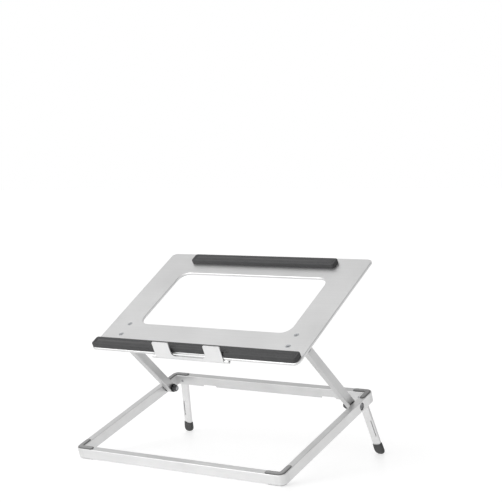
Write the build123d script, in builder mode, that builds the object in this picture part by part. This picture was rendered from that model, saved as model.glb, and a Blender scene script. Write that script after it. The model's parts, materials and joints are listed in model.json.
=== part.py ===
from build123d import *
import os
from math import asin, atan2, cos, degrees, hypot, radians, sin

# Folding laptop stand: an open base frame on two rear legs, two arms, a tray and a flip-up front stop.
# Millimetres. +X is the stand's right, +Y its rear, +Z up. The stand is drawn standing open for use.
# The origin is on the ground, under the middle of the open stand's bounding box.

# ---- base frame -----------------------------------------------------------------------------------
base_width = 267.6
base_depth = 185.6
rail_height = 11.2
rail_width = 7.7            # front and side rails
rear_rail_width = 8.2       # the rear rail is a channel that hides the folded legs
rail_wall = 1.2
channel_wall = 1.0
edge_round = 0.5
corner_round = 7.0          # seen from above
front_corner_reach = 11.0   # how far a front corner block shows along both rails
rear_corner_reach = 11.0    # how far a rear corner block shows along the side rail
spigot_length = 12.0
hinge_spigot_length = 25.0  # the rear blocks' spigots carry the lower hinge bolts
spigot_gap = 0.05
finger_notch_start = 71.0   # from the middle of the stand
finger_notch_length = 18.6
finger_notch_depth = 2.0

# ---- rubber pads on and under the corners ---------------------------------------------------------
pad_side_reach = 22.0       # length along the front or rear rail
pad_depth_reach = 20.0      # length along the side rail
pad_inset = 0.8
pad_round = 2.9
pad_height = 1.0
foot_height = 1.3
foot_bite = 0.45            # how much of the tilted front foot is worn flat against the ground

# ---- rear legs ------------------------------------------------------------------------------------
leg_inset = 14.8            # pivot to the side of the frame
leg_pivot_height = 4.7
leg_reach = 69.7            # pivot to the sole
leg_splay = 9.1
leg_width = 9.4
leg_thickness = 3.0
leg_edge = 0.36
leg_sole = 3.0              # rubber below the end of the bar
leg_slit_length = 19.4
leg_slit_width = 1.1
leg_slit_depth = 1.8
leg_slit_inset = 1.9
leg_slit_middle = 38.6      # below the pivot
leg_pin_radius = 1.5
leg_spacer_radius = 3.4
tip_width = 10.8
tip_thickness = 5.7
tip_height = 13.0
tip_corner = 2.0
tip_sole_chamfer = 1.2
pivot_gap = 0.05

# ---- arms -----------------------------------------------------------------------------------------
arm_pivot_setback = 27.9    # lower pivot to the rear edge of the frame
arm_length = 113.0          # pivot to pivot
arm_width = 9.6
arm_thickness = 7.0
arm_gap = 1.25              # rail to arm
arm_slope = 38.2            # from the horizontal, leaning forward
arm_edge = 0.6

# ---- friction hinges at both ends of the arms -----------------------------------------------------
bolt_radius = 2.5
bolt_chamfer = 0.4
base_head_radius = 4.1
base_head_height = 1.2
recess_radius = 4.2         # round the lower bolt's sunk head
recess_depth = 2.6
tray_head_radius = 4.0
tray_head_height = 0.8
washer_radius = 4.7
inner_washer_height = 1.2
spring_disc_radius = 3.7
spring_disc_height = 0.5
spring_disc_count = 2
disc_gap = 0.1
nut_radius = 4.0
nut_height = 3.2
nut_round = 1.1
bolt_end = 0.3
bore_gap = 0.06
face_gap = 0.05             # between faces that turn against each other

# ---- tray -----------------------------------------------------------------------------------------
tray_width = 267.6
tray_depth = 175.6
tray_thickness = 2.5
tray_tilt = 32.6
tray_corner = 6.0
tray_edge = 0.5
tray_pivot_setback = 35.0   # upper pivot behind the tray's front edge
tray_pivot_drop = 6.6       # upper pivot below the tray's underside
window_side = 36.0
window_front = 46.0
window_rear = 36.0
window_corner = 12.0
strip_height = 5.0
strip_depth = 13.0
front_strip_inset = 1.8
rear_strip_width = 190.0
rear_strip_setback = 6.0
strip_round = 3.0
bracket_thickness = 3.0
bracket_length = 30.0
bracket_foot = 13.0
bracket_foot_height = 1.8
bracket_nose = 4.5         # half the ear's width round the pivot
bracket_round = 3.6
upper_washer_height = 1.0
screw_radius = 1.5
screw_head_radius = 2.9
screw_head_height = 1.3
screw_spacing = 18.0

# ---- front stop clip ------------------------------------------------------------------------------
clip_half_width = 43.9
clip_slot_half_width = 22.4
clip_sheet = 1.3
clip_height = 18.3          # pin to the top of the prongs
clip_web = 2.8              # pin to the bottom of the slot
clip_slot_round = 5.0
clip_prong_round = 1.5
clip_lean = 6.3
clip_pin_radius = 1.0
clip_pin_setback = 1.2
clip_pin_drop = 2.6         # below the tray's underside
clip_side_gap = 0.4
knuckle_length = 5.0
knuckle_radius = 2.3
notch_depth = 3.4
notch_gap = 1.0
clip_pad_height = 1.4
clip_pad_inset = 1.6
clip_pad_start = 5.4

# ---- worked out from the sizes above --------------------------------------------------------------
half_width = base_width / 2
inner_half = half_width - rail_width
rear_middle = base_depth - rear_rail_width / 2
leg_pivot_x = half_width - leg_inset
foot_front = pad_inset
sole_drop = leg_reach * cos(radians(leg_splay)) - leg_pivot_height - foot_height
sole_run = rear_middle - foot_front
base_tilt = degrees(atan2(sole_drop, sole_run) + asin(foot_bite / hypot(sole_drop, sole_run)))
base_lift = foot_height * cos(radians(base_tilt)) - foot_front * sin(radians(base_tilt)) - foot_bite
arm_outer = inner_half - arm_gap
arm_inner = arm_outer - arm_thickness
arm_pivot_y = base_depth - arm_pivot_setback
arm_pivot_z = rail_height / 2
leg_fold_angle = 90 + leg_splay
arm_fold_angle = arm_slope + base_tilt
tray_fold_angle = arm_slope + tray_tilt
bore_radius = bolt_radius + bore_gap
clip_bore = clip_pin_radius + bore_gap
clip_outer = clip_bore + clip_sheet


def yz_point(plane, y, z):
    """A point of a tilted plane's own Y and Z, as a point of the stand."""
    return plane.from_local_coords(Vector(0, y, z))


def tilted(origin, angle):
    """A frame at origin, turned up at the rear by angle."""
    return Plane(origin=origin, x_dir=(1, 0, 0), z_dir=(0, -sin(radians(angle)), cos(radians(angle))))


base_frame = tilted((0, 0, base_lift), base_tilt)
arm_axis = yz_point(base_frame, arm_pivot_y, arm_pivot_z)
arm_frame = tilted(arm_axis, -arm_slope)                  # the arm runs along this frame's -Y
tray_axis = yz_point(arm_frame, -arm_length, 0)
tray_turn = tilted(tray_axis, tray_tilt)
tray_frame = tilted(yz_point(tray_turn, -tray_pivot_setback, tray_pivot_drop), tray_tilt)
clip_axis = yz_point(tray_frame, clip_pin_setback, -clip_pin_drop)
clip_frame = tilted(clip_axis, tray_tilt - clip_lean)     # the clip stands along this frame's +Z
pieces = {}


def keep(label, part, frame):
    """Put a piece, drawn flat in its frame, where that frame is on the open stand."""
    pieces[label] = part.moved(frame.location)


def side_plane(x, y=0.0, z=0.0):
    """A sketch plane facing +X: its own X runs along +Y and its own Y along +Z."""
    return Plane(origin=(x, y, z), x_dir=(0, 1, 0), z_dir=(1, 0, 0))


def rear_plane(y, x=0.0, z=0.0):
    """A sketch plane facing +Y, with its own Y along +Z."""
    return Plane(origin=(x, y, z), x_dir=(-1, 0, 0), z_dir=(0, 1, 0))


# ---- base frame -----------------------------------------------------------------------------------
def tube_section(width):
    """The hollow section of a rail, drawn in the open sketch with its middle at the origin."""
    RectangleRounded(width, rail_height, edge_round)
    Rectangle(width - 2 * rail_wall, rail_height - 2 * rail_wall, mode=Mode.SUBTRACT)


front_rail_half = half_width - front_corner_reach
with BuildPart() as front_rail:
    with BuildSketch(side_plane(-front_rail_half, rail_width / 2, rail_height / 2)):
        tube_section(rail_width)
    extrude(amount=2 * front_rail_half)
keep("front_rail", front_rail.part, base_frame)

side_rail_start = front_corner_reach
side_rail_length = base_depth - front_corner_reach - rear_corner_reach
for side, label in ((-1, "left_rail"), (1, "right_rail")):
    rail_middle = side * (half_width - rail_width / 2)
    with BuildPart() as side_rail:
        with BuildSketch(rear_plane(side_rail_start, rail_middle, rail_height / 2)):
            tube_section(rail_width)
        extrude(amount=side_rail_length)
        with BuildSketch(side_plane(rail_middle, arm_pivot_y, arm_pivot_z)):
            Circle(bore_radius)
        extrude(amount=rail_width, both=True, mode=Mode.SUBTRACT)
        with BuildSketch(side_plane(side * half_width, arm_pivot_y, arm_pivot_z)):
            Circle(recess_radius)
        extrude(amount=-side * recess_depth, mode=Mode.SUBTRACT)
    keep(label, side_rail.part, base_frame)

with BuildPart() as rear_rail:
    with BuildSketch(side_plane(-inner_half, rear_middle, rail_height / 2)):
        RectangleRounded(rear_rail_width, rail_height, edge_round)
        with Locations((0, -channel_wall)):
            Rectangle(rear_rail_width - 2 * channel_wall, rail_height, mode=Mode.SUBTRACT)
    extrude(amount=2 * inner_half)
    with BuildSketch(rear_plane(base_depth - rear_rail_width)):
        for side in (-1, 1):
            with Locations((side * (finger_notch_start + finger_notch_length / 2), 0)):
                SlotCenterToCenter(finger_notch_length - 2 * finger_notch_depth, 2 * finger_notch_depth)
    extrude(amount=2 * channel_wall, both=True, mode=Mode.SUBTRACT)
    with BuildSketch(rear_plane(rear_middle)):
        with Locations((-leg_pivot_x, leg_pivot_height), (leg_pivot_x, leg_pivot_height)):
            Circle(leg_pin_radius)
    extrude(amount=rear_rail_width, both=True, mode=Mode.SUBTRACT)
keep("rear_rail", rear_rail.part, base_frame)


def corner_block(side, rear):
    """One cast corner: an L seen from above, with a spigot in each tube that it joins."""
    reach_x = rail_width if rear else front_corner_reach
    reach_y = rear_corner_reach if rear else front_corner_reach
    back = base_depth if rear else 0
    inward = -1 if rear else 1
    cross_width = rear_rail_width if rear else rail_width
    rail_middle = side * (half_width - rail_width / 2)
    half_height = rail_height / 2
    with BuildPart() as block:
        with BuildSketch():
            with Locations((side * (half_width - reach_x / 2), back + inward * cross_width / 2)):
                Rectangle(reach_x, cross_width)
            with Locations((rail_middle, back + inward * reach_y / 2)):
                Rectangle(rail_width, reach_y)
            outer = vertices().sort_by_distance((side * half_width, back, 0))[0]
            fillet(outer, corner_round)
        extrude(amount=rail_height)
        top_and_bottom = faces().filter_by(Axis.Z)
        long_edges = top_and_bottom.edges().filter_by(lambda edge: outer_edge(edge, side, back))
        fillet(long_edges, edge_round)
        spigot_width = rail_width - 2 * rail_wall - 2 * spigot_gap
        spigot_height = rail_height - 2 * rail_wall - 2 * spigot_gap
        with BuildSketch(rear_plane(back + inward * reach_y, rail_middle, half_height)):
            Rectangle(spigot_width, spigot_height)
        extrude(amount=inward * (hinge_spigot_length if rear else spigot_length))
        if rear:
            with BuildSketch(side_plane(side * half_width, arm_pivot_y, arm_pivot_z)):
                Circle(recess_radius)
            extrude(amount=-side * recess_depth, mode=Mode.SUBTRACT)
            with BuildSketch(side_plane(rail_middle, arm_pivot_y, arm_pivot_z)):
                Circle(bore_radius)
            extrude(amount=rail_width, both=True, mode=Mode.SUBTRACT)
        else:
            with BuildSketch(side_plane(side * (half_width - reach_x), rail_width / 2, half_height)):
                Rectangle(spigot_width, spigot_height)
            extrude(amount=-side * spigot_length)
    return block.part


def outer_edge(edge, side, back):
    """True for an edge on the outside of the frame."""
    middle = edge.center()
    reach = 0.35 * corner_round         # the middle of the corner's arc lies 0.29 of its radius inside
    on_side = abs(middle.X - side * half_width) < reach
    on_end = abs(middle.Y - back) < reach
    return on_side or on_end


for side, side_name in ((-1, "left"), (1, "right")):
    for rear, end_name in ((False, "front"), (True, "rear")):
        keep(f"{end_name}_{side_name}_corner", corner_block(side, rear), base_frame)


def corner_pad(side, rear, low, height):
    """An L of rubber that follows the two rails at a corner."""
    back = base_depth if rear else 0
    inward = -1 if rear else 1
    strip = rail_width - 2 * pad_inset
    outer_x = half_width - pad_inset
    outer_y = back + inward * pad_inset
    with BuildPart() as pad:
        with BuildSketch(Plane.XY.offset(low)):
            with Locations((side * (outer_x - pad_side_reach / 2), outer_y + inward * strip / 2)):
                Rectangle(pad_side_reach, strip)
            with Locations((side * (outer_x - strip / 2), outer_y + inward * pad_depth_reach / 2)):
                Rectangle(strip, pad_depth_reach)
            elbow = (side * outer_x, outer_y, 0)
            fillet(vertices().sort_by_distance(elbow)[1:], pad_round)
            fillet(vertices().sort_by_distance(elbow)[0], corner_round - pad_inset)
        extrude(amount=height)
    return pad.part


for side, side_name in ((-1, "left"), (1, "right")):
    for rear, end_name in ((False, "front"), (True, "rear")):
        keep(f"{end_name}_{side_name}_pad", corner_pad(side, rear, rail_height, pad_height), base_frame)
    with BuildPart() as front_foot:
        add(corner_pad(side, False, -foot_height, foot_height).moved(base_frame.location))
        split(bisect_by=Plane.XY, keep=Keep.TOP)
    keep(f"{side_name}_front_foot", front_foot.part, Plane.XY)

# ---- legs: drawn hanging from the pivot at the origin, then swung out by the splay ----------------
leg_end = leg_reach - leg_sole
leg_stack = (rear_rail_width - 2 * channel_wall - leg_thickness) / 2
for side, side_name in ((-1, "left"), (1, "right")):
    pivot_place = Location((side * leg_pivot_x, rear_middle, leg_pivot_height), (0, -side * leg_splay, 0))
    leg_frame = Plane(base_frame.location * pivot_place)

    with BuildPart() as leg:
        with BuildSketch(rear_plane(-leg_thickness / 2)):
            Circle(leg_width / 2)
            with Locations((0, -leg_end / 2)):
                Rectangle(leg_width, leg_end)
            Circle(leg_pin_radius + bore_gap, mode=Mode.SUBTRACT)
        extrude(amount=leg_thickness)
        chamfer(leg.faces().filter_by(Axis.Y).edges().filter_by(Axis.Z), leg_edge)
        with BuildSketch(rear_plane(-leg_thickness / 2)):
            with Locations((-side * (leg_width / 2 - leg_slit_inset), -leg_slit_middle)):
                SlotOverall(leg_slit_length, leg_slit_width, rotation=90)
        extrude(amount=leg_slit_depth, mode=Mode.SUBTRACT)
    keep(f"{side_name}_leg", leg.part, leg_frame)

    tip_top = leg_reach - tip_height
    tip_tail = leg_reach + tip_width / 2
    with BuildPart() as tip_blank:
        with BuildSketch(Plane.XY.offset(-tip_top)):
            RectangleRounded(tip_width, tip_thickness, tip_corner)
        extrude(amount=tip_top - tip_tail)
        with BuildSketch(Plane.XY.offset(-tip_top)):
            Rectangle(leg_width + 2 * pivot_gap, leg_thickness + 2 * pivot_gap)
        extrude(amount=tip_top - leg_end, mode=Mode.SUBTRACT)
    with BuildPart() as leg_tip:
        add(tip_blank.part.moved(leg_frame.location))
        split(bisect_by=Plane.XY, keep=Keep.TOP)
        chamfer(leg_tip.edges().group_by(Axis.Z)[0], tip_sole_chamfer)
    keep(f"{side_name}_leg_tip", leg_tip.part, Plane.XY)

    with BuildPart() as leg_pin:
        with BuildSketch(rear_plane(-rear_rail_width / 2)):
            Circle(leg_pin_radius)
        extrude(amount=rear_rail_width)
    keep(f"{side_name}_leg_pin", leg_pin.part, leg_frame)

    with BuildPart() as leg_spacers:
        for end in (-1, 1):
            with BuildSketch(rear_plane(end * leg_thickness / 2)):
                Circle(leg_spacer_radius)
                Circle(leg_pin_radius + bore_gap, mode=Mode.SUBTRACT)
            extrude(amount=end * (leg_stack - face_gap))
    keep(f"{side_name}_leg_spacers", leg_spacers.part, leg_frame)

# ---- arms: drawn flat, from the lower pivot at the origin towards -Y ------------------------------
for side, side_name in ((-1, "left"), (1, "right")):
    with BuildPart() as arm:
        with BuildSketch(side_plane(side * (arm_inner + arm_thickness / 2))):
            with Locations((-arm_length / 2, 0)):
                SlotCenterToCenter(arm_length, arm_width)
            with Locations((0, 0), (-arm_length, 0)):
                Circle(bore_radius, mode=Mode.SUBTRACT)
        extrude(amount=arm_thickness / 2, both=True)
        outline = arm.faces().filter_by(Axis.X).edges().filter_by(lambda edge: edge.length > arm_width)
        chamfer(outline, arm_edge)
    keep(f"{side_name}_arm", arm.part, arm_frame)


# ---- friction hinges: stacks of round pieces along X ----------------------------------------------
def disc(side, start, length, radius, bore=0.0):
    """A round piece from start, measured from the middle plane, inward by length."""
    with BuildPart() as piece:
        with BuildSketch(side_plane(side * start)):
            Circle(radius)
            if bore:
                Circle(bore, mode=Mode.SUBTRACT)
        extrude(amount=-side * length)
    return piece.part


def bolt(side, head_outer, head_height, head_radius, shank_start, shank_end):
    """A round-headed bolt along X, head outward, with a chamfered end."""
    with BuildPart() as piece:
        with BuildSketch(side_plane(side * head_outer)):
            Circle(head_radius)
        extrude(amount=-side * head_height)
        with BuildSketch(side_plane(side * shank_start)):
            Circle(bolt_radius)
        extrude(amount=-side * (shank_start - shank_end))
        rims = piece.edges().filter_by(GeomType.CIRCLE)
        chamfer(rims.sort_by(lambda edge: side * edge.center().X)[0], bolt_chamfer)
    return piece.part


def spring_discs(side, start):
    """A pile of thin spring discs from start inward."""
    with BuildPart() as piece:
        for number in range(spring_disc_count):
            with BuildSketch(side_plane(side * (start - number * (spring_disc_height + disc_gap)))):
                Circle(spring_disc_radius)
                Circle(bore_radius, mode=Mode.SUBTRACT)
            extrude(amount=-side * spring_disc_height)
    return piece.part


def lock_nut(side, start):
    """A round lock nut with a rounded inner end."""
    with BuildPart() as piece:
        with BuildSketch(side_plane(side * start)):
            Circle(nut_radius)
            Circle(bore_radius, mode=Mode.SUBTRACT)
        extrude(amount=-side * nut_height)
        rims = piece.edges().filter_by(GeomType.CIRCLE).filter_by(lambda edge: edge.radius > bore_radius)
        fillet(rims.sort_by(lambda edge: side * edge.center().X)[0], nut_round)
    return piece.part


disc_pile = spring_disc_count * (spring_disc_height + disc_gap)
lower_washer_end = arm_inner - face_gap - inner_washer_height
lower_nut_start = lower_washer_end - disc_pile
ear_outer = arm_inner - upper_washer_height - 2 * face_gap
ear_inner = ear_outer - bracket_thickness
pivot_frame = Plane(base_frame.location * Location((0, arm_pivot_y, arm_pivot_z)))
for side, side_name in ((-1, "left"), (1, "right")):
    lower_bolt = bolt(
        side,
        half_width - recess_depth + base_head_height,
        base_head_height,
        base_head_radius,
        half_width - recess_depth,
        lower_nut_start - nut_height - bolt_end,
    )
    keep(f"{side_name}_base_bolt", lower_bolt, pivot_frame)
    outer_washer = disc(side, inner_half, arm_gap - face_gap, washer_radius, bore_radius)
    keep(f"{side_name}_rail_washer", outer_washer, pivot_frame)
    inner_washer = disc(side, arm_inner - face_gap, inner_washer_height, washer_radius, bore_radius)
    keep(f"{side_name}_arm_washer", inner_washer, pivot_frame)
    keep(f"{side_name}_base_spring_discs", spring_discs(side, lower_washer_end), pivot_frame)
    keep(f"{side_name}_base_nut", lock_nut(side, lower_nut_start), pivot_frame)

    upper_bolt = bolt(
        side,
        arm_outer + face_gap + tray_head_height,
        tray_head_height,
        tray_head_radius,
        arm_outer + face_gap,
        ear_inner - disc_pile - nut_height - bolt_end,
    )
    keep(f"{side_name}_tray_bolt", upper_bolt, tray_turn)
    upper_washer = disc(side, arm_inner - face_gap, upper_washer_height, washer_radius, bore_radius)
    keep(f"{side_name}_tray_washer", upper_washer, tray_turn)
    keep(f"{side_name}_tray_spring_discs", spring_discs(side, ear_inner), tray_turn)
    keep(f"{side_name}_tray_nut", lock_nut(side, ear_inner - disc_pile), tray_turn)

# ---- tray: drawn flat, its front edge on the X axis and its underside at Z = 0 --------------------
notch_half = clip_half_width + notch_gap
with BuildPart() as tray_panel:
    with BuildSketch():
        with Locations((0, tray_depth / 2)):
            RectangleRounded(tray_width, tray_depth, tray_corner)
        window_width = tray_width - 2 * window_side
        window_depth = tray_depth - window_front - window_rear
        with Locations((0, window_front + window_depth / 2)):
            RectangleRounded(window_width, window_depth, window_corner, mode=Mode.SUBTRACT)
        with Locations((0, notch_depth / 2)):
            Rectangle(2 * notch_half, notch_depth, mode=Mode.SUBTRACT)
    extrude(amount=tray_thickness)
    top_edges = tray_panel.faces().sort_by(Axis.Z)[-1].edges()
    chamfer(top_edges, tray_edge)
    screw_x = ear_outer - bracket_foot / 2 - bracket_thickness / 2
    screw_places = [
        (side * screw_x, tray_pivot_setback + end * screw_spacing / 2, tray_thickness)
        for side in (-1, 1)
        for end in (-1, 1)
    ]
    with Locations(*screw_places):
        CounterSinkHole(screw_radius + bore_gap, screw_head_radius + bore_gap, depth=tray_thickness)
keep("tray_panel", tray_panel.part, tray_frame)


def hinge_bracket(side):
    """An angle of thick sheet: a foot under the tray and an ear that carries the upper pivot."""
    foot_middle = ear_outer - bracket_foot / 2
    ear_middle = ear_outer - bracket_thickness / 2
    with BuildPart() as bracket:
        with BuildSketch():
            with Locations((side * foot_middle, tray_pivot_setback)):
                Rectangle(bracket_foot, bracket_length)
        extrude(amount=-bracket_foot_height)
        with BuildSketch(side_plane(side * ear_middle, tray_pivot_setback)):
            with BuildLine():
                ear_low = -tray_pivot_drop - bracket_nose
                Polyline(
                    (-bracket_length / 2, 0),
                    (bracket_length / 2, 0),
                    (bracket_nose, ear_low),
                    (-bracket_nose, ear_low),
                    (-bracket_length / 2, 0),
                )
            make_face()
            lowest = vertices().group_by(Axis.Z)[0]
            fillet(lowest, bracket_round)
        extrude(amount=bracket_thickness / 2, both=True)
        with BuildSketch(side_plane(side * ear_middle, tray_pivot_setback, -tray_pivot_drop)):
            Circle(bore_radius)
        extrude(amount=bracket_thickness, both=True, mode=Mode.SUBTRACT)
        with Locations(*[(x, y, 0) for x, y, z in screw_places if x * side > 0]):
            Hole(screw_radius, depth=bracket_foot_height)
    return bracket.part


for side, side_name in ((-1, "left"), (1, "right")):
    keep(f"{side_name}_hinge_bracket", hinge_bracket(side), tray_frame)

with BuildPart() as tray_screws:
    with Locations(*screw_places):
        Cylinder(
            screw_radius,
            tray_thickness + bracket_foot_height,
            align=(Align.CENTER, Align.CENTER, Align.MAX),
        )
        Cone(
            screw_radius,
            screw_head_radius,
            screw_head_height,
            align=(Align.CENTER, Align.CENTER, Align.MAX),
        )
keep("tray_screws", tray_screws.part, tray_frame)

front_strip_half = tray_width / 2 - front_strip_inset
with BuildPart() as front_strip:
    with BuildSketch(Plane.XY.offset(tray_thickness)):
        with Locations((0, front_strip_inset / 2 + strip_depth / 2)):
            RectangleRounded(2 * front_strip_half, strip_depth, strip_round)
        with Locations((0, notch_depth / 2)):
            Rectangle(2 * notch_half, notch_depth, mode=Mode.SUBTRACT)
    extrude(amount=strip_height)
keep("front_strip", front_strip.part, tray_frame)

with BuildPart() as rear_strip:
    with BuildSketch(Plane.XY.offset(tray_thickness)):
        with Locations((0, tray_depth - rear_strip_setback - strip_depth / 2)):
            RectangleRounded(rear_strip_width, strip_depth, strip_round)
    extrude(amount=strip_height)
keep("rear_strip", rear_strip.part, tray_frame)

# ---- clip hinge under the tray's front edge: two knuckles that hold the pin -----------------------
knuckle_start = clip_half_width + clip_side_gap
for side, side_name in ((-1, "left"), (1, "right")):
    with BuildPart() as knuckle:
        with BuildSketch(side_plane(side * knuckle_start, clip_pin_setback, -clip_pin_drop)):
            Circle(knuckle_radius)
            with Locations((knuckle_radius, clip_pin_drop / 2)):
                Rectangle(2 * knuckle_radius, clip_pin_drop)
            Circle(clip_pin_radius, mode=Mode.SUBTRACT)
        extrude(amount=side * knuckle_length)
    keep(f"{side_name}_clip_knuckle", knuckle.part, tray_frame)

pin_half = knuckle_start + knuckle_length
with BuildPart() as clip_pin:
    with BuildSketch(side_plane(-pin_half, clip_pin_setback, -clip_pin_drop)):
        Circle(clip_pin_radius)
    extrude(amount=2 * pin_half)
keep("clip_pin", clip_pin.part, tray_frame)

# ---- clip: drawn standing on the pin at the origin, its sheet in front of the pin -----------------
with BuildPart() as clip:
    with BuildSketch(side_plane(-clip_half_width)):
        Circle(clip_outer)
        with Locations((-clip_bore - clip_sheet / 2, clip_height / 2)):
            Rectangle(clip_sheet, clip_height)
        Circle(clip_bore, mode=Mode.SUBTRACT)
    extrude(amount=2 * clip_half_width)
    slot_cut = 2 * clip_height
    with BuildSketch(rear_plane(-clip_bore)):
        with Locations((0, clip_web + slot_cut / 2)):
            RectangleRounded(2 * clip_slot_half_width, slot_cut, clip_slot_round)
    extrude(amount=2 * clip_sheet, both=True, mode=Mode.SUBTRACT)
    prong_tops = clip.faces().filter_by(Axis.Z).sort_by(Axis.Z)[-2:]
    fillet(prong_tops.edges().filter_by(Axis.Y), clip_prong_round)
keep("front_clip", clip.part, clip_frame)

pad_width = clip_half_width - clip_slot_half_width - 2 * clip_pad_inset
pad_length = clip_height - clip_pad_start - clip_pad_inset
pad_middle_x = clip_slot_half_width + clip_pad_inset + pad_width / 2
pad_middle_z = clip_pad_start + pad_length / 2
for side, side_name in ((-1, "left"), (1, "right")):
    with BuildPart() as clip_pad:
        with BuildSketch(rear_plane(-clip_bore)):
            with Locations((-side * pad_middle_x, pad_middle_z)):
                RectangleRounded(pad_width, pad_length, clip_prong_round)
        extrude(amount=clip_pad_height)
    keep(f"{side_name}_clip_pad", clip_pad.part, clip_frame)

# ---- put the origin under the middle of the whole stand, and write every piece --------------------
front_reach = min(piece.bounding_box().min.Y for piece in pieces.values())
rear_reach = max(piece.bounding_box().max.Y for piece in pieces.values())
to_middle = Location((0, -(front_reach + rear_reach) / 2, 0))
os.makedirs("parts", exist_ok=True)
for label, piece in pieces.items():
    placed = piece.moved(to_middle)
    placed.label = label
    export_step(placed, f"parts/{label}.step")

for name, point in (("arm_axis", arm_axis), ("tray_axis", tray_axis), ("clip_axis", clip_axis)):
    print(name, round(point.Y - (front_reach + rear_reach) / 2, 3), round(point.Z, 3))
print("base tilt", round(base_tilt, 3))
print("fold angles: arms", round(arm_fold_angle, 3), "tray", round(tray_fold_angle, 3))
print("fold angle of the legs", leg_fold_angle)
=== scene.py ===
import json
from math import atan2, cos, pi, radians, sin

import bmesh
import bpy
import numpy as np
from mathutils import Matrix, Vector


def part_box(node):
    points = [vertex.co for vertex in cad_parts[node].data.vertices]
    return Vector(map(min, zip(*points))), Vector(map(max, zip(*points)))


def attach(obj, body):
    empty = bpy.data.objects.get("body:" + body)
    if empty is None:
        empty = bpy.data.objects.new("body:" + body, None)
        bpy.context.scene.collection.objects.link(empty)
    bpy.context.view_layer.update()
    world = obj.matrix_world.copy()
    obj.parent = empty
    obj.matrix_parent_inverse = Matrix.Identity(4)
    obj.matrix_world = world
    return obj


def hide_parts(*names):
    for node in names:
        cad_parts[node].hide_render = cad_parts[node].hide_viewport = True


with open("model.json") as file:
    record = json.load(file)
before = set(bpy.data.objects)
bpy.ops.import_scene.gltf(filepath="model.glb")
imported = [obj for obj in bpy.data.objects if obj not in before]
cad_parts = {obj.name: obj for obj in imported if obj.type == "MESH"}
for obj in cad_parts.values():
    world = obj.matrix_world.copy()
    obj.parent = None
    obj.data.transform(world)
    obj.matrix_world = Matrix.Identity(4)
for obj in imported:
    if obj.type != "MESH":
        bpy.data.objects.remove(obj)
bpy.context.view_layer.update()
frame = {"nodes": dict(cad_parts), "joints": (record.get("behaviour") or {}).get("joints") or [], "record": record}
mm = 0.001
print("stand loaded,", len(frame["nodes"]), "nodes")

# slopes of the open stand, read from its own joints and its laptop rest
jointOf = {joint["name"]: joint for joint in frame["joints"]}
mountOf = {mount["name"]: mount for mount in frame["record"]["mounts"]}
legAxis = jointOf["right_leg_fold"]["axis"]
restAxis = mountOf["laptop_rest"]["axis"]
lowerPivot = np.array(jointOf["arm_fold"]["pos_m"])
upperPivot = np.array(jointOf["tray_tilt"]["pos_m"])
baseTilt = atan2(legAxis[2], legAxis[1])
trayTilt = atan2(-restAxis[1], restAxis[2])
armTilt = atan2(upperPivot[2] - lowerPivot[2], upperPivot[1] - lowerPivot[1]) - pi
slope = {"lean": 6.3, "splay": 9.1}  # degrees, the clip back from the tray's square, the legs outward


def turnOf(tilt, roll=0.0):
    # a piece's own axes: rolled about Y, then raised at the rear by tilt about X
    return Matrix.Rotation(tilt, 3, "X") @ Matrix.Rotation(roll, 3, "Y")


level = turnOf(0.0)
baseTurn = turnOf(baseTilt)
armTurn = turnOf(armTilt)
trayTurn = turnOf(trayTilt)
clipTurn = turnOf(trayTilt - radians(slope["lean"]))
sides = {"left": -1, "right": 1}
legTurn = {name: turnOf(baseTilt, -side * radians(slope["splay"])) for name, side in sides.items()}


# camera, light and floor
def aimFrame(yaw, pitch, roll):
    # right, up and backward of a camera that looks along +Y, swung by yaw, tipped down, then rolled
    forward = Vector((-sin(yaw) * cos(pitch), cos(yaw) * cos(pitch), -sin(pitch)))
    flat = forward.cross(Vector((0, 0, 1))).normalized()
    lift = flat.cross(forward)
    right = flat * cos(roll) + lift * sin(roll)
    up = lift * cos(roll) - flat * sin(roll)
    return Matrix((right, up, -forward)).transposed().to_4x4()


camera = {"place": (0.879, -1.209, 0.2978), "yaw": 35.097, "pitch": 2.96, "roll": -0.5485,
          "lens": 100.54, "sensor": 36.0}


def addCamera(look):
    data = bpy.data.cameras.new("view")
    data.lens = look["lens"]
    data.sensor_width = look["sensor"]
    data.clip_start = 0.02
    data.clip_end = 60
    eye = bpy.data.objects.new("view", data)
    turn = aimFrame(radians(look["yaw"]), radians(look["pitch"]), radians(look["roll"]))
    eye.matrix_world = Matrix.Translation(look["place"]) @ turn
    bpy.context.scene.collection.objects.link(eye)
    bpy.context.scene.camera = eye


addCamera(camera)


def linear(code):
    # sRGB hex to linear RGBA: below 0.04045 a straight 1/12.92, above it the 2.4 power curve
    parts = [int(code[i:i + 2], 16) / 255 for i in (1, 3, 5)]
    return tuple(p / 12.92 if p <= 0.04045 else ((p + 0.055) / 1.055) ** 2.4 for p in parts) + (1.0,)


def addNode(tree, kind, settings, inputs):
    # one node with its settings; an input is a plain value or the output socket that feeds it
    node = tree.nodes.new(kind)
    for name, value in settings.items():
        setattr(node, name, value)
    for name, value in inputs.items():
        if isinstance(value, bpy.types.NodeSocket):
            tree.links.new(value, node.inputs[name])
        else:
            node.inputs[name].default_value = value
    return node


studio = {
    "sky": "#d9d9d9", "skyPower": 1.0,   # pale tent all round
    "shade": "#9e9e9e", "shadeFrom": (-0.1, 0.9),   # its dimmer right-hand side, and where that sets in
    "sun": 1.5, "sunTurn": (38, -22, 0), "sunSoft": 80,   # broad overhead bank, from the front left
    "floor": "#a6a6a6", "glow": "#ffffff", "glowPower": 0.6, "floorSize": 60.0, "floorRough": 0.4,
    "sandScale": 900.0, "sandStrength": 0.05, "sandDepth": 0.0002,   # cells per metre, share, metres
}
lamps = [  # name, place, size, watts: soft boxes aimed at the middle of the stand
    ("key", (-0.6, -1.9, 0.9), 1.2, 10.0),
]


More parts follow.
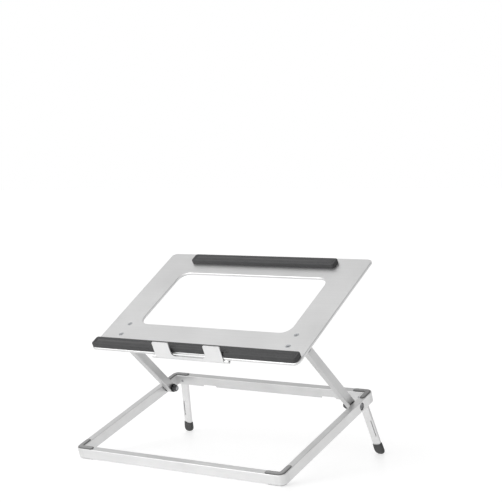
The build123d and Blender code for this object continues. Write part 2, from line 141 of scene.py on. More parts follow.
def addStudio(look, boxes):
    scene = bpy.context.scene
    scene.view_settings.view_transform = "Standard"
    world = bpy.data.worlds.new("tent")
    scene.world = world
    world.use_nodes = True
    tree = world.node_tree
    tree.nodes.clear()
    place = addNode(tree, "ShaderNodeTexCoord", {}, {})
    split = addNode(tree, "ShaderNodeSeparateXYZ", {}, {"Vector": place.outputs["Generated"]})
    start, end = look["shadeFrom"]
    side = addNode(tree, "ShaderNodeMapRange", {"interpolation_type": "SMOOTHSTEP"},
                   {"Value": split.outputs["X"], "From Min": start, "From Max": end})
    tint = addNode(tree, "ShaderNodeMix", {"data_type": "RGBA"},
                   {0: side.outputs["Result"], 6: linear(look["sky"]), 7: linear(look["shade"])})
    sky = addNode(tree, "ShaderNodeBackground", {},
                  {"Color": tint.outputs[2], "Strength": look["skyPower"]})
    seen = addNode(tree, "ShaderNodeBackground", {}, {"Color": (1, 1, 1, 1), "Strength": 1.0})
    path = addNode(tree, "ShaderNodeLightPath", {}, {})
    both = addNode(tree, "ShaderNodeMixShader", {},
                   {0: path.outputs["Is Camera Ray"], 1: sky.outputs[0], 2: seen.outputs[0]})
    addNode(tree, "ShaderNodeOutputWorld", {}, {"Surface": both.outputs[0]})
    data = bpy.data.lights.new("bank", "SUN")
    data.energy = look["sun"]
    data.angle = radians(look["sunSoft"])
    bank = bpy.data.objects.new("bank", data)
    bank.rotation_euler = [radians(turn) for turn in look["sunTurn"]]
    scene.collection.objects.link(bank)
    for name, place, size, power in boxes:
        data = bpy.data.lights.new(name, "AREA")
        data.size = size
        data.energy = power
        lamp = bpy.data.objects.new(name, data)
        aim = Vector((0, 0, 0.1)) - Vector(place)
        lamp.matrix_world = Matrix.Translation(place) @ aim.to_track_quat("-Z", "Y").to_matrix().to_4x4()
        scene.collection.objects.link(lamp)
    half = look["floorSize"] / 2
    corners = [(-half, -half, 0), (half, -half, 0), (half, half, 0), (-half, half, 0)]
    mesh = bpy.data.meshes.new("floor")
    mesh.from_pydata(corners, [], [(0, 1, 2, 3)])
    floor = bpy.data.objects.new("floor", mesh)
    scene.collection.objects.link(floor)
    acrylic = bpy.data.materials.new("white acrylic table, sanded and lit from below")
    acrylic.use_nodes = True
    tree = acrylic.node_tree
    shader = tree.nodes["Principled BSDF"]
    place = addNode(tree, "ShaderNodeTexCoord", {}, {})
    sand = addNode(tree, "ShaderNodeTexNoise", {},
                   {"Vector": place.outputs["Object"], "Scale": look["sandScale"]})
    rise = addNode(tree, "ShaderNodeBump", {},
                   {"Height": sand.outputs["Fac"], "Strength": look["sandStrength"],
                    "Distance": look["sandDepth"]})
    tree.links.new(rise.outputs["Normal"], shader.inputs["Normal"])
    shader.inputs["Emission Color"].default_value = linear(look["glow"])
    shader.inputs["Emission Strength"].default_value = look["glowPower"]
    shader.inputs["Base Color"].default_value = linear(look["floor"])
    shader.inputs["Roughness"].default_value = look["floorRough"]
    mesh.materials.append(acrylic)


addStudio(studio, lamps)
print("camera, tent and floor in place")


# materials
def startMaterial(name, bevel, turn):
    # a plain Principled material with Object coordinates turned into the piece's own axes,
    # a softened edge normal, and a mask that is 1 on an edge and 0 on a flat
    material = bpy.data.materials.new(name)
    material.use_nodes = True
    tree = material.node_tree
    place = addNode(tree, "ShaderNodeTexCoord", {}, {})
    own = addNode(tree, "ShaderNodeMapping", {"vector_type": "TEXTURE"},
                  {"Vector": place.outputs["Object"], "Rotation": turn.to_euler()[:]})
    soft = addNode(tree, "ShaderNodeBevel", {"samples": 4}, {"Radius": bevel * mm})
    flat = addNode(tree, "ShaderNodeNewGeometry", {}, {})
    alike = addNode(tree, "ShaderNodeVectorMath", {"operation": "DOT_PRODUCT"},
                    {0: soft.outputs["Normal"], 1: flat.outputs["Normal"]})
    edge = addNode(tree, "ShaderNodeMapRange", {},
                   {"Value": alike.outputs["Value"], "From Min": 0.995, "From Max": 0.85})
    return material, tree, own.outputs["Vector"], soft.outputs["Normal"], edge.outputs["Result"]


# Satin anodised aluminium, extruded, bead-blasted and clear anodised: the eye sees soft grey metal with a
# fine tooth, faint die lines along the bar and a paler, slightly smoother arris where hands rub it.
anodised = {
    "color": "#e2e2e2", "patch": "#dddddd", "worn": "#eaeaea",
    "patchSize": 28.0,       # mm, slow drift of the anodic film
    "lineLong": 160.0, "lineWide": 0.8,   # die lines; real ones are 0.1 mm apart, drawn coarser to show
    "lineTone": (0.985, 1.012),
    "gritSize": 0.35,        # bead-blast pits; real 0.05 mm, drawn coarser to show
    "roughness": (0.34, 0.46), "edgeRound": 0.3, "lineDepth": 0.003, "gritDepth": 0.004,
}


def anodisedMetal(name, look, along, turn):
    material, tree, place, soft, edge = startMaterial(name, look["edgeRound"], turn)
    wide = look["lineWide"] * mm
    long = look["lineLong"] * mm
    stretch = {"X": (long, wide, wide), "Y": (wide, long, wide), "Z": (wide, wide, long)}[along]
    pulled = addNode(tree, "ShaderNodeMapping", {"vector_type": "TEXTURE"},
                     {"Vector": place, "Scale": stretch})
    lines = addNode(tree, "ShaderNodeTexNoise", {},
                    {"Vector": pulled.outputs["Vector"], "Scale": 1.0, "Detail": 3.0})
    drift = addNode(tree, "ShaderNodeTexNoise", {},
                    {"Vector": place, "Scale": 1 / (look["patchSize"] * mm), "Detail": 2.0})
    grit = addNode(tree, "ShaderNodeTexNoise", {},
                   {"Vector": place, "Scale": 1 / (look["gritSize"] * mm), "Detail": 2.0})
    tone = addNode(tree, "ShaderNodeMapRange", {},
                   {"Value": drift.outputs["Fac"], "From Min": 0.35, "From Max": 0.65})
    dim, bright = look["lineTone"]
    streak = addNode(tree, "ShaderNodeMapRange", {},
                     {"Value": lines.outputs["Fac"], "From Min": 0.3, "From Max": 0.7,
                      "To Min": dim, "To Max": bright})
    film = addNode(tree, "ShaderNodeMix", {"data_type": "RGBA"},
                   {0: tone.outputs["Result"], 6: linear(look["color"]), 7: linear(look["patch"])})
    lined = addNode(tree, "ShaderNodeMix", {"data_type": "RGBA", "blend_type": "MULTIPLY"},
                    {0: 1.0, 6: film.outputs[2], 7: streak.outputs["Result"]})
    rubbed = addNode(tree, "ShaderNodeMix", {"data_type": "RGBA"},
                     {0: edge, 6: lined.outputs[2], 7: linear(look["worn"])})
    low, high = look["roughness"]
    rough = addNode(tree, "ShaderNodeMapRange", {},
                    {"Value": grit.outputs["Fac"], "From Min": 0.3, "From Max": 0.7,
                     "To Min": low, "To Max": high})
    ridge = addNode(tree, "ShaderNodeBump", {},
                    {"Height": lines.outputs["Fac"], "Distance": look["lineDepth"] * mm, "Normal": soft})
    pits = addNode(tree, "ShaderNodeBump", {},
                   {"Height": grit.outputs["Fac"], "Distance": look["gritDepth"] * mm,
                    "Normal": ridge.outputs["Normal"]})
    shader = tree.nodes["Principled BSDF"]
    shader.inputs["Metallic"].default_value = 1.0
    tree.links.new(rubbed.outputs[2], shader.inputs["Base Color"])
    tree.links.new(rough.outputs["Result"], shader.inputs["Roughness"])
    tree.links.new(pits.outputs["Normal"], shader.inputs["Normal"])
    return material


# The rear channel is drawn darker than the tubes: painted shadow, as cast by a laptop lying on the tray.
channelShadeMetal = dict(anodised, color="#d6d6d6", patch="#d1d1d1", worn="#dedede")
# The arms are drawn a tone darker than the frame.
armMetal = dict(anodised, color="#cdcdcd", patch="#c7c7c7", worn="#dadada")
# Die-cast corners, bead-blasted and anodised with the bars: no die lines, a slightly coarser skin.
castMetal = dict(anodised, color="#e0e0e0", patch="#dadada", lineLong=9.0, lineWide=7.0, gritSize=0.5,
                 roughness=(0.38, 0.5), gritDepth=0.008)
# Rolled sheet, satin anodised: broad, very soft rolling bands across the tray.
sheetMetal = dict(anodised, color="#e0e0e0", patch="#d9d9d9", patchSize=70.0, lineLong=140.0, lineWide=1.6,
                  roughness=(0.33, 0.42), lineDepth=0.004)
# Bent clip sheet, bright-dipped before anodising: the palest metal on the stand.
clipMetal = dict(anodised, color="#e7e7e7", patch="#e2e2e2", worn="#f0f0f0", lineLong=60.0, lineWide=0.8,
                 roughness=(0.3, 0.38))
# Zinc-plated steel angle, brushed before plating: a little cooler and greyer than the aluminium.
plated = dict(anodised, color="#b6b8ba", patch="#acaeb1", worn="#cfd0d2", lineLong=25.0, lineWide=0.5,
              roughness=(0.26, 0.38), lineDepth=0.01)

# Turned steel, nickel-plated: fine lathe rings round the axis, bright rims.
turned = {"color": "#a7a8aa", "groove": "#909193", "worn": "#c6c7c8", "ringPitch": 0.45,
          "roughness": (0.2, 0.36), "edgeRound": 0.12, "ringDepth": 0.006, "dustSize": 1.6}


def turnedMetal(name, look, centre):
    # rings are a wave of the distance from an axis that runs along X through centre
    material, tree, place, soft, edge = startMaterial(name, look["edgeRound"], level)
    moved = addNode(tree, "ShaderNodeMapping", {"vector_type": "TEXTURE"},
                    {"Vector": place, "Location": tuple(centre)})
    rings = addNode(tree, "ShaderNodeTexWave", {"wave_type": "RINGS", "rings_direction": "X"},
                    {"Vector": moved.outputs["Vector"], "Scale": pi / (10 * look["ringPitch"] * mm),
                     "Distortion": 0.4, "Detail": 1.0})
    dust = addNode(tree, "ShaderNodeTexNoise", {}, {"Vector": place, "Scale": 1 / (look["dustSize"] * mm)})
    cut = addNode(tree, "ShaderNodeMix", {"data_type": "RGBA"},
                  {0: rings.outputs["Fac"], 6: linear(look["groove"]), 7: linear(look["color"])})
    rubbed = addNode(tree, "ShaderNodeMix", {"data_type": "RGBA"},
                     {0: edge, 6: cut.outputs[2], 7: linear(look["worn"])})
    low, high = look["roughness"]
    rough = addNode(tree, "ShaderNodeMapRange", {},
                    {"Value": dust.outputs["Fac"], "From Min": 0.3, "From Max": 0.7,
                     "To Min": low, "To Max": high})
    rise = addNode(tree, "ShaderNodeBump", {},
                   {"Height": rings.outputs["Fac"], "Distance": look["ringDepth"] * mm, "Normal": soft})
    shader = tree.nodes["Principled BSDF"]
    shader.inputs["Metallic"].default_value = 1.0
    tree.links.new(rubbed.outputs[2], shader.inputs["Base Color"])
    tree.links.new(rough.outputs["Result"], shader.inputs["Roughness"])
    tree.links.new(rise.outputs["Normal"], shader.inputs["Normal"])
    return material


# Black-oxide steel nut and pin: dark oily satin, brown-grey steel showing on the corners.
oxide = dict(turned, color="#5e5e60", groove="#48484a", worn="#8a8886", roughness=(0.25, 0.4))
# Hardened spring steel, left plain: straw-grey with fine rings.
spring = dict(turned, color="#6f7073", groove="#55575b", worn="#a8a9ab", ringPitch=0.3)

# Moulded silicone rubber from a spark-eroded mould: dull and dark with a fine even tooth, chalky on the
# rubbed edges, and a little lint that clings to it.
# The "low" colour is painted shade on the skirt, where a pad or foot meets the metal.
silicone = {"color": "#39393a", "patch": "#323233", "worn": "#535354", "lint": "#6c6c6d", "low": "#242425",
            "patchSize": 9.0, "toothSize": 0.55, "toothDepth": 0.03, "lintSize": 0.5, "lintShare": 0.69,
            "roughness": (0.55, 0.72), "edgeRound": 0.25, "sheen": 0.15}


def rubber(name, look, turn):
    # the piece's own "low" attribute is painted shade: 1 where its skirt meets the metal
    material, tree, place, soft, edge = startMaterial(name, look["edgeRound"], turn)
    patch = addNode(tree, "ShaderNodeTexNoise", {},
                    {"Vector": place, "Scale": 1 / (look["patchSize"] * mm), "Detail": 3.0})
    tooth = addNode(tree, "ShaderNodeTexVoronoi", {"feature": "SMOOTH_F1"},
                    {"Vector": place, "Scale": 1 / (look["toothSize"] * mm), "Smoothness": 0.6})
    lint = addNode(tree, "ShaderNodeTexNoise", {},
                   {"Vector": place, "Scale": 1 / (look["lintSize"] * mm), "Detail": 1.0,
                    "Distortion": 1.5})
    specks = addNode(tree, "ShaderNodeMapRange", {},
                     {"Value": lint.outputs["Fac"], "From Min": look["lintShare"],
                      "From Max": look["lintShare"] + 0.04, "To Max": 0.5})
    skirt = addNode(tree, "ShaderNodeAttribute", {"attribute_name": "low"}, {})
    mottled = addNode(tree, "ShaderNodeMix", {"data_type": "RGBA"},
                      {0: patch.outputs["Fac"], 6: linear(look["color"]), 7: linear(look["patch"])})
    rubbed = addNode(tree, "ShaderNodeMix", {"data_type": "RGBA"},
                     {0: edge, 6: mottled.outputs[2], 7: linear(look["worn"])})
    linted = addNode(tree, "ShaderNodeMix", {"data_type": "RGBA"},
                     {0: specks.outputs["Result"], 6: rubbed.outputs[2], 7: linear(look["lint"])})
    shadedColour = addNode(tree, "ShaderNodeMix", {"data_type": "RGBA"},
                     {0: skirt.outputs["Fac"], 6: linted.outputs[2], 7: linear(look["low"])})
    low, high = look["roughness"]
    rough = addNode(tree, "ShaderNodeMapRange", {},
                    {"Value": patch.outputs["Fac"], "To Min": low, "To Max": high})
    rise = addNode(tree, "ShaderNodeBump", {},
                   {"Height": tooth.outputs["Distance"], "Distance": look["toothDepth"] * mm,
                    "Normal": soft})
    shader = tree.nodes["Principled BSDF"]
    shader.inputs["IOR"].default_value = 1.41
    shader.inputs["Sheen Weight"].default_value = look["sheen"]
    tree.links.new(shadedColour.outputs[2], shader.inputs["Base Color"])
    tree.links.new(rough.outputs["Result"], shader.inputs["Roughness"])
    tree.links.new(rise.outputs["Normal"], shader.inputs["Normal"])
    return material


# The corner pads are the same silicone in mid grey, with a near-black painted shade at the skirt.
greySilicone = dict(silicone, color="#8e8e8e", patch="#838383", worn="#a4a4a4", lint="#b6b6b6",
                    low="#262626")
# The boots are dark grey and cleaner than the strips.
bootSilicone = dict(silicone, color="#464646", patch="#3f3f3f", worn="#5c5c5c", lint="#787878", sheen=0.05)
# Moulded nylon washers: black, harder and glossier than the rubber, with mould sparks almost smooth.
nylon = dict(silicone, color="#1b1b1c", patch="#161617", worn="#39393a", low="#1b1b1c", toothSize=0.3,
             toothDepth=0.01, roughness=(0.38, 0.5), sheen=0.0)

barAcross = anodisedMetal("anodised bar across", anodised, "X", baseTurn)
barAlong = anodisedMetal("anodised bar along", anodised, "Y", baseTurn)
channelShadeBar = anodisedMetal("anodised rear channel", channelShadeMetal, "X", baseTurn)
armBar = anodisedMetal("anodised arm bar", armMetal, "Y", armTurn)
legBars = {name: anodisedMetal(f"anodised {name} leg bar", anodised, "Z", legTurn[name]) for name in sides}
castCorner = anodisedMetal("cast anodised corner", castMetal, "X", baseTurn)
traySheet = anodisedMetal("satin anodised tray sheet", sheetMetal, "X", trayTurn)
clipSheet = anodisedMetal("bright anodised clip sheet", clipMetal, "X", clipTurn)
platedAngle = anodisedMetal("zinc-plated steel angle", plated, "Y", trayTurn)
stripRubber = rubber("black moulded silicone strip", silicone, trayTurn)
clipRubber = rubber("black moulded silicone pad", silicone, clipTurn)
bootRubber = rubber("dark moulded silicone boot", bootSilicone, baseTurn)
padRubber = rubber("grey moulded silicone", greySilicone, baseTurn)
footRubber = rubber("black moulded silicone foot", silicone, baseTurn)
blackNylon = rubber("black moulded nylon", nylon, level)
baseTurned = turnedMetal("turned nickel-plated steel, lower pivot", turned, lowerPivot)
trayTurned = turnedMetal("turned nickel-plated steel, upper pivot", turned, upperPivot)
pinOxide = turnedMetal("black-oxide steel pin", oxide, jointOf["clip_fold"]["pos_m"])
baseOxide = turnedMetal("black-oxide steel, lower pivot", oxide, lowerPivot)
trayOxide = turnedMetal("black-oxide steel, upper pivot", oxide, upperPivot)
baseSpring = turnedMetal("plain spring steel, lower pivot", spring, lowerPivot)
traySpring = turnedMetal("plain spring steel, upper pivot", spring, upperPivot)


def dress(names, material):
    # the CAD meshes of these nodes take one material
    for name in names:
        mesh = frame["nodes"][name].data
        mesh.materials.clear()
        mesh.materials.append(material)


def pair(pattern):
    return [pattern.format(side) for side in ("left", "right")]


dress(["front_rail"], barAcross)
dress(["rear_rail"], channelShadeBar)
dress(pair("{}_rail"), barAlong)
dress(pair("{}_arm"), armBar)
for sideName, bar in legBars.items():
    dress([f"{sideName}_leg"], bar)
dress(pair("front_{}_corner") + pair("rear_{}_corner"), castCorner)
dress(["tray_panel"], traySheet)
dress(["front_clip"] + pair("{}_clip_knuckle"), clipSheet)
dress(pair("{}_hinge_bracket"), platedAngle)
dress(pair("{}_rail_washer") + pair("{}_arm_washer"), blackNylon)
dress(pair("{}_tray_washer") + pair("{}_leg_spacers"), blackNylon)
dress(pair("{}_leg_pin") + pair("{}_base_bolt"), baseTurned)
dress(pair("{}_tray_bolt") + ["tray_screws"], trayTurned)
dress(["clip_pin"], pinOxide)
dress(pair("{}_base_nut"), baseOxide)
dress(pair("{}_tray_nut"), trayOxide)
dress(pair("{}_base_spring_discs"), baseSpring)
dress(pair("{}_tray_spring_discs"), traySpring)
dress(pair("{}_leg_tip"), bootRubber)
dress(["front_strip", "rear_strip"], stripRubber)
dress(pair("{}_clip_pad"), clipRubber)
dress(pair("front_{}_pad") + pair("rear_{}_pad"), padRubber)
dress(pair("{}_front_foot"), footRubber)
print("finishes on", len(frame["nodes"]), "nodes")


# moulded and turned pieces: stacks of closed rings, worked out in a piece's own axes
def ownPoints(name, turn, origin=(0, 0, 0)):
    # a CAD node's points in the axes of turn, measured from origin
    mesh = frame["nodes"][name].data
    flat = np.empty(3 * len(mesh.vertices), np.float32)
    mesh.vertices.foreach_get("co", flat)
    return (flat.reshape(-1, 3) - np.array(origin)) @ np.array(turn)


def ownBox(name, turn, origin=(0, 0, 0)):
    points = ownPoints(name, turn, origin)
    return points.min(0), points.max(0)


def placed(rings, turn, origin=(0, 0, 0)):
    return rings @ np.array(turn).T + np.array(origin)


def skin(name, shells, material, body, stands=(), hollow=False, low=None):
    # Each shell is rings x points x 3. Neighbour rings are joined by quads; the two end rings are closed
    # by flat faces, or joined to each other when the piece is hollow. low is the painted shade of each ring.
    points, faces, count = [], [], 0
    for rings in shells:
        rows, columns = rings.shape[:2]
        index = np.arange(rows * columns).reshape(rows, columns) + count
        near, far = (index, np.roll(index, -1, 0)) if hollow else (index[:-1], index[1:])
        quads = np.stack([near, np.roll(near, -1, 1), np.roll(far, -1, 1), far], -1).reshape(-1, 4)
        faces += quads.tolist()
        if not hollow:
            faces += [index[0, ::-1].tolist(), index[-1].tolist()]
        points.append(rings.reshape(-1, 3))
        count += rows * columns
    mesh = bpy.data.meshes.new(name)
    mesh.from_pydata(np.concatenate(points).tolist(), [], faces)
    shape = bmesh.new()
    shape.from_mesh(mesh)
    bmesh.ops.recalc_face_normals(shape, faces=shape.faces)
    shape.to_mesh(mesh)
    shape.free()
    mesh.shade_smooth()
    mesh.set_sharp_from_angle(angle=radians(42))
    if low is not None:
        paintedShade = np.concatenate([np.repeat(low, rings.shape[1]) for rings in shells]).astype(np.float32)
        mesh.attributes.new("low", "FLOAT", "POINT").data.foreach_set("value", paintedShade)
    mesh.materials.append(material)
    piece = bpy.data.objects.new(name, mesh)
    bpy.context.scene.collection.objects.link(piece)
    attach(piece, body)
    if stands:
        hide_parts(*stands)
    return piece


def roundOutline(corners, radii, inset=0.0, arcSteps=6, runSteps=0):
    # A polygon drawn in by inset, with an arc at each corner. A corner moves by (n1 + n2) / (1 + n1.n2)
    # times the inset, n1 and n2 being its runs' outward normals; its radius shrinks by the inset on an
    # outward corner and grows by it on an inward one.
    corners = np.array(corners, float)
    into = corners - np.roll(corners, 1, 0)
    into /= np.linalg.norm(into, axis=1, keepdims=True)
    out = np.roll(into, -1, 0)
    turn = np.arctan2(into[:, 0] * out[:, 1] - into[:, 1] * out[:, 0], (into * out).sum(1))
    first = np.stack([into[:, 1], -into[:, 0]], 1)
    second = np.stack([out[:, 1], -out[:, 0]], 1)
    corners -= inset * (first + second) / (1 + (first * second).sum(1, keepdims=True))
    radii = np.maximum(np.broadcast_to(radii, len(corners)) - np.sign(turn) * inset, 0.02 * mm)
    bend = (radii * np.sign(turn))[:, None]
    centre = corners - into * (radii * np.tan(np.abs(turn) / 2))[:, None] - first * bend
    angle = np.arctan2(first[:, 1], first[:, 0])[:, None] + turn[:, None] * np.linspace(0, 1, arcSteps + 1)
    points = centre[:, None] + np.stack([np.cos(angle), np.sin(angle)], 2) * bend[:, None]
    if runSteps:
        share = (np.arange(1, runSteps + 1) / (runSteps + 1))[None, :, None]
        step = np.roll(points[:, :1], -1, 0) - points[:, -1:]
        points = np.concatenate([points, points[:, -1:] + step * share], 1)
    return points.reshape(-1, 2)


def ringAt(outline, height):
    # an outline's points, all at one height
    return np.column_stack([outline, np.full(len(outline), height)])


def moulding(corners, radii, base, rim, edge, steps=6):
    # A plate over an outline: its wall stands from base to rim, then the edge is a quarter ellipse,
    # inset = edge wide (1 - cos a) and height = rim + edge high sin a.
    angle = np.linspace(0, pi / 2, steps + 1)
    insets = np.concatenate([[0.0], edge[0] * (1 - np.cos(angle))])
    heights = np.concatenate([[base], rim + edge[1] * np.sin(angle)])
    return [ringAt(roundOutline(corners, radii, inset), height) for inset, height in zip(insets, heights)]


def groove(corners, radii, top, inset, wide, deep):
    # four more rings: down one flank of a groove that follows the outline, across its floor and up again
    flank = 0.35 * wide   # each sloping side's share of the groove
    steps = ((0, 0), (flank, deep), (wide - flank, deep), (wide, 0))
    return [ringAt(roundOutline(corners, radii, inset + shift), top - drop) for shift, drop in steps]


# corner pads and front feet: an L of silicone with round ends, softly domed
pad = {"width": 6.1, "elbow": 6.2, "end": 2.95, "inner": 1.8, "wall": 0.25, "edge": (2.3, 0.75)}


def addPad(name, side, rear, under=False):
    # an L drawn in the CAD node's own box and moulded up from it, or down for a foot
    low, high = ownBox(name, baseTurn)
    across, along = high[0] - low[0], high[1] - low[1]
    width = pad["width"] * mm
    corners = [(0, 0), (across, 0), (across, width), (width, width), (width, along), (0, along)]
    radii = np.array([pad["elbow"], pad["end"], pad["end"], pad["inner"], pad["end"], pad["end"]]) * mm
    base, top = (high[2], low[2]) if under else (low[2], high[2])
    way = np.sign(top - base)
    wall = way * pad["wall"] * mm
    rings = np.array(moulding(corners, radii, base, base + wall, (pad["edge"][0] * mm, top - base - wall)))
    outerX = high[0] if side > 0 else low[0]
    outerY = high[1] if rear else low[1]
    rings[..., 0] = outerX - side * rings[..., 0]
    rings[..., 1] = outerY + (-1 if rear else 1) * rings[..., 1]
    rings = placed(rings, baseTurn)
    rings[..., 2] = np.maximum(rings[..., 2], 0.0)   # a foot is worn flat on the ground
    # painted shade: 1 on the ring at the metal, fading to 0 at the top of the moulding
    paintedShade = np.linspace(1, 0, len(rings)) ** 1.2
    material, slotName = (footRubber, "black_rubber") if under else (padRubber, "grey_rubber")
    return skin(f"{name}_moulding", [rings], material, "base", [name], low=paintedShade)


for sideName, side in sides.items():
    addPad(f"front_{sideName}_pad", side, False)
    addPad(f"rear_{sideName}_pad", side, True)
    addPad(f"{sideName}_front_foot", side, False, under=True)
print("corner pads and feet moulded")

# tray strips: rounded silicone bars with two anti-slip grooves that follow the outline
strip = {"corner": 3.0, "notchCorner": 0.8, "edge": (1.1, 1.1),
         "grooves": ((2.3, 0.9, 0.35), (4.0, 0.7, 0.3))}


def addStrip(name, notch=None):
    # a moulded bar over the CAD node's own box; each groove is its outline drawn further in
    low, high = ownBox(name, trayTurn)
    corners = [(low[0], low[1]), (high[0], low[1]), (high[0], high[1]), (low[0], high[1])]
    radii = [strip["corner"]] * 4
    if notch is not None:
        half, deep = notch
        corners[1:1] = [(-half, low[1]), (-half, deep), (half, deep), (half, low[1])]
        radii[1:1] = [strip["notchCorner"]] * 4
    radii = np.array(radii) * mm
    wide, drop = (value * mm for value in strip["edge"])
    rings = moulding(corners, radii, low[2], high[2] - drop, (wide, drop))
    for start, across, deep in strip["grooves"]:
        rings += groove(corners, radii, high[2], start * mm, across * mm, deep * mm)
    rings = placed(np.array(rings), trayTurn)
    return skin(f"{name}_moulding", [rings], stripRubber, "tray", [name])


def notchOf(name):
    # half width and depth of the gap in the strip's front edge, from the corners of its top face
    points = ownPoints(name, trayTurn)
    front = points[:, 1].min()
    inside = points[np.abs(points[:, 0]) < 0.5 * points[:, 0].max()]
    return np.abs(inside[:, 0]).max(), inside[:, 1][inside[:, 1] > front + 0.5 * mm].min()


addStrip("front_strip", notchOf("front_strip"))
addStrip("rear_strip")
print("tray strips moulded")

# clip pads: thin rounded tablets behind the prongs
tablet = {"corner": 1.5, "edge": (0.6, 0.6)}


def addTablet(name):
    # a moulding laid on its back: its outline runs across and up, its height runs to the rear
    low, high = ownBox(name, clipTurn)
    corners = [(low[0], low[2]), (high[0], low[2]), (high[0], high[2]), (low[0], high[2])]
    wide, drop = (value * mm for value in tablet["edge"])
    radii = np.full(4, tablet["corner"] * mm)
    rings = np.array(moulding(corners, radii, low[1], high[1] - drop, (wide, drop)))[..., [0, 2, 1]]
    return skin(f"{name}_moulding", [placed(rings, clipTurn)], clipRubber, "clip", [name])


for sideName in sides:
    addTablet(f"{sideName}_clip_pad")

# boots: a moulded cap on each leg, dished at the lip and rounded off to a small sole
boot = {"corner": 2.0, "lip": 0.45, "dish": 1.2, "sole": (4.4, 1.7, 5.2), "taper": 0.3, "fit": 0.05,
        "pocketCorner": 0.3, "neck": 3.5, "soleCorner": 0.6}


def addBoot(name, bar, pivot, turn, body):
    # Rings run up the pocket, over the lip and down the outside. Depths run along the leg from its pivot;
    # the sole's rings are level, depth = (pivot height + rise of the point - height) / leg cosine.
    low, high = ownBox(name, turn, pivot)
    barLow, barHigh = ownBox(bar, turn, pivot)
    half = (high[:2] - low[:2]) / 2
    middle = (barLow[:2] + barHigh[:2]) / 2
    pocket = (barHigh[:2] - barLow[:2]) / 2 + boot["fit"] * mm

    def section(halves, radius, inset=(0.0, 0.0)):
        x, y = halves[0] - inset[0], halves[1] - inset[1]
        return roundOutline([(-x, -y), (x, -y), (x, y), (-x, y)], np.full(4, radius), runSteps=9)

    inner = section(pocket, boot["pocketCorner"] * mm)
    outer = section(half, boot["corner"] * mm)
    spread = 1 - np.clip(np.abs(outer[:, 0]) / half[0], 0, 1) ** 2
    dish = boot["dish"] * mm * spread * (np.abs(outer[:, 1]) > 0.9 * half[1])
    top = -high[2] + dish
    lip = boot["lip"] * mm
    taper = boot["taper"] * mm
    neck = outer * (1 - taper / half)
    rings = [(inner, np.full(len(inner), -barLow[2])), (inner, top + lip)]
    for angle in np.linspace(0, pi, 7):
        share = (1 - cos(angle)) / 2
        rings.append((inner * (1 - share) + neck * share, top + lip * (1 - sin(angle))))
    rings.append((outer * (1 - 0.3 * taper / half), top + boot["neck"] * mm))
    rings = [np.column_stack([xy, -depth]) for xy, depth in rings]
    across, through, rise = (value * mm for value in boot["sole"])
    lean = np.array(turn)
    for angle in np.linspace(0, pi / 2, 9):
        inset = (across * (1 - cos(angle)), through * (1 - cos(angle)))
        xy = section(half, max(boot["corner"] * mm - inset[1], boot["soleCorner"] * mm), inset)
        height = rise * (1 - sin(angle))
        depth = (pivot[2] + xy @ lean[2, :2] - height) / lean[2, 2]
        rings.append(np.column_stack([xy, -depth]))
    rings = np.array(rings)
    rings[..., :2] += middle
    rings = placed(rings, turn, pivot)
    rings[-1, :, 2] = 0.0
    return skin(f"{name}_boot", [rings], bootRubber, body, [name])


for sideName in sides:
    legPivot = jointOf[f"{sideName}_leg_fold"]["pos_m"]
    addBoot(f"{sideName}_leg_tip", f"{sideName}_leg", legPivot, legTurn[sideName], f"{sideName}_leg")
print("clip pads and boots moulded")


def lathe(rows, columns=60):
    # Rings about Z from rows of (height, radius, half across flats). At angle a the radius is the smaller
    # of the row's own and flats / cos(a folded to +-30 degrees): round, six-sided, or chamfered six-sided.
    height, radius, flats = np.array(rows, float).T[:, :, None] * mm
    angle = np.arange(columns) * 2 * pi / columns
    fold = (angle + pi / 6) % (pi / 3) - pi / 6
    reach = np.minimum(radius, flats / np.cos(fold))
    rise = np.broadcast_to(height, reach.shape)
    return np.stack([reach * np.cos(angle), reach * np.sin(angle), rise], -1)


def alongX(rings, start, side, centre):
    # a turned piece laid along X: its height runs inward from start, its axis passes through centre
    turnedRings = np.stack([start - side * rings[..., 2], rings[..., 0], rings[..., 1]], -1)
    return turnedRings + np.array([0, centre[1], centre[2]])


plain = 99.0   # half across flats of a row with no flats, mm
bolt = {"shank": 2.5, "core": 2.25, "pitch": 0.8, "tip": 0.3, "tipCut": 0.25, "threadLong": 4.4,
        "socket": (1.5, 0.75), "socketCut": (0.35, 0.12),    # half across flats and depth; its chamfer
        "rim": ((0.9, 0.0), (0.4, 0.1), (0.08, 0.3), (0.0, 0.5)),   # in from the head's edge, down
        "base": (4.1, 1.2), "tray": (4.0, 0.8)}   # head radius and height of the lower and upper bolts
nut = {"bore": 2.56, "boreCut": 0.3, "flats": 3.5, "corner": 4.0, "bevel": 0.35, "body": 2.2,
       "cornerCut": (0.45, 0.6), "step": 0.15, "collar": 3.15, "collarRound": 0.6, "insert": 0.5}
cup = {"thick": 0.3, "dish": 0.2, "outer": 3.7, "edge": 0.08, "bore": 2.56, "pitch": 0.6, "count": 2}


def threadRows(start, end):
    # a thread seen as rings: the radius swings between shank and core once for each pitch
    heights = np.arange(start, end, bolt["pitch"] / 4)
    middle, swing = (bolt["shank"] + bolt["core"]) / 2, (bolt["shank"] - bolt["core"]) / 2
    radii = middle + swing * np.cos(2 * pi * (heights - start) / bolt["pitch"])
    return [(height, radius, plain) for height, radius in zip(heights, radii)]


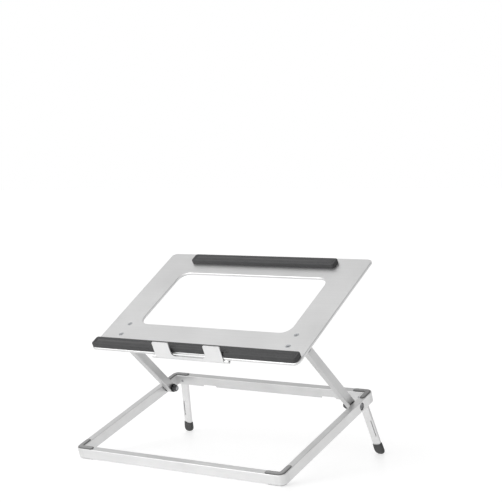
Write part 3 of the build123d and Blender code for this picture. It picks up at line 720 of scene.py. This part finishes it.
def addBolt(name, side, centre, body, material):
    # a low round head with a hexagon socket, a shank and a threaded end
    near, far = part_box(name)
    outer, inner = (far[0], near[0]) if side > 0 else (near[0], far[0])
    length = abs(outer - inner) / mm
    flats, deep = bolt["socket"]
    cutWide, cutDeep = bolt["socketCut"]
    radius, high = bolt[body]
    rows = [(deep, flats / cos(pi / 6), flats), (cutDeep, flats / cos(pi / 6), flats),
            (0.0, flats + cutWide, plain)]
    rows += [(down, radius - inward, plain) for inward, down in bolt["rim"]]
    rows += [(high, radius, plain), (high, bolt["shank"], plain)]
    rows += threadRows(length - bolt["threadLong"], length - bolt["tip"])
    rows += [(length - bolt["tip"], bolt["core"], plain), (length, bolt["core"] - bolt["tipCut"], plain)]
    rings = alongX(lathe(rows), outer, side, centre)
    return skin(f"{name}_turned", [rings], material, body, [name])


def addNut(name, side, centre, body, material):
    # a chamfered hexagon, a round collar ending in a quarter circle, then back through the bore
    low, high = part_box(name)
    start = low[0] if side < 0 else high[0]
    length = (high[0] - low[0]) / mm
    bore, corner, bevel, flats = nut["bore"], nut["corner"], nut["bevel"], nut["flats"]
    collar, soft, cut = nut["collar"], nut["collarRound"], nut["boreCut"]
    nearCut, farCut = nut["cornerCut"]
    end = nut["body"]
    rows = [(0, bore + cut, plain), (0, corner - nearCut, flats), (bevel, corner, flats),
            (end - bevel, corner, flats), (end, corner - farCut, flats), (end + nut["step"], collar, plain)]
    rows += [(length - soft * (1 - sin(turn)), collar - soft * (1 - cos(turn)), plain)
             for turn in np.linspace(0, pi / 2, 6)]
    rows += [(length, bore, plain), (length - nut["insert"], bore, plain), (cut, bore, plain)]
    rings = alongX(lathe(rows), start, side, centre)
    return skin(f"{name}_turned", [rings], material, body, [name], hollow=True)


def addCups(name, side, centre, body, material):
    # cupped spring washers in a pile, every second one turned over
    low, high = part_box(name)
    start = low[0] if side < 0 else high[0]
    shells = []
    for number in range(cup["count"]):
        shift = cup["pitch"] * number
        rim, eye = (0.0, cup["dish"]) if number % 2 == 0 else (cup["dish"], 0.0)
        near, far = shift + rim, shift + rim + cup["thick"]
        outer, bore, cut = cup["outer"], cup["bore"], cup["edge"]
        rows = [(shift + eye, bore, plain), (near, outer - cut, plain), (near + cut, outer, plain),
                (far - cut, outer, plain), (far, outer - cut, plain),
                (shift + eye + cup["thick"], bore, plain)]
        shells.append(alongX(lathe(rows), start, side, centre))
    return skin(f"{name}_cupped", shells, material, body, [name], hollow=True)


for sideName, side in sides.items():
    addBolt(f"{sideName}_base_bolt", side, lowerPivot, "base", baseTurned)
    addBolt(f"{sideName}_tray_bolt", side, upperPivot, "tray", trayTurned)
    addNut(f"{sideName}_base_nut", side, lowerPivot, "base", baseOxide)
    addNut(f"{sideName}_tray_nut", side, upperPivot, "tray", trayOxide)
    addCups(f"{sideName}_base_spring_discs", side, lowerPivot, "base", baseSpring)
    addCups(f"{sideName}_tray_spring_discs", side, upperPivot, "tray", traySpring)
print("hinge bolts, nuts and spring washers turned")

# countersunk socket screws that hold the hinge angles
screw = {"head": 2.9, "headCut": 0.1, "shank": 1.5, "shankCut": 0.2, "cone": 1.3, "socket": (0.95, 1.0),
         "socketCut": (0.25, 0.08), "columns": 36}


def addScrews(name):
    # four turned screws with their heads up: the radius falls along a cone from head to shank
    points = ownPoints(name, trayTurn)
    low, high = points.min(0), points.max(0)
    length = (high[2] - low[2]) / mm
    reach, deep = screw["socket"]
    cutWide, cutDeep = screw["socketCut"]
    head, shank = screw["head"], screw["shank"]
    headCut, shankCut = screw["headCut"], screw["shankCut"]
    rows = [(-deep, reach / cos(pi / 6), reach), (-cutDeep, reach / cos(pi / 6), reach),
            (0, reach + cutWide, plain), (0, head - headCut, plain), (-headCut, head, plain),
            (-screw["cone"], shank, plain), (shankCut - length, shank, plain),
            (-length, shank - shankCut, plain)]
    rings = lathe(rows, screw["columns"])
    rim = screw["head"] * mm
    depths = (low[1] + rim, high[1] - rim)
    places = [(side * (high[0] - rim), y, high[2]) for side in (-1, 1) for y in depths]
    shells = [placed(rings + np.array(place), trayTurn) for place in places]
    return skin(f"{name}_turned", shells, platedAngle, "tray", [name])


addScrews("tray_screws")
print("screws turned")
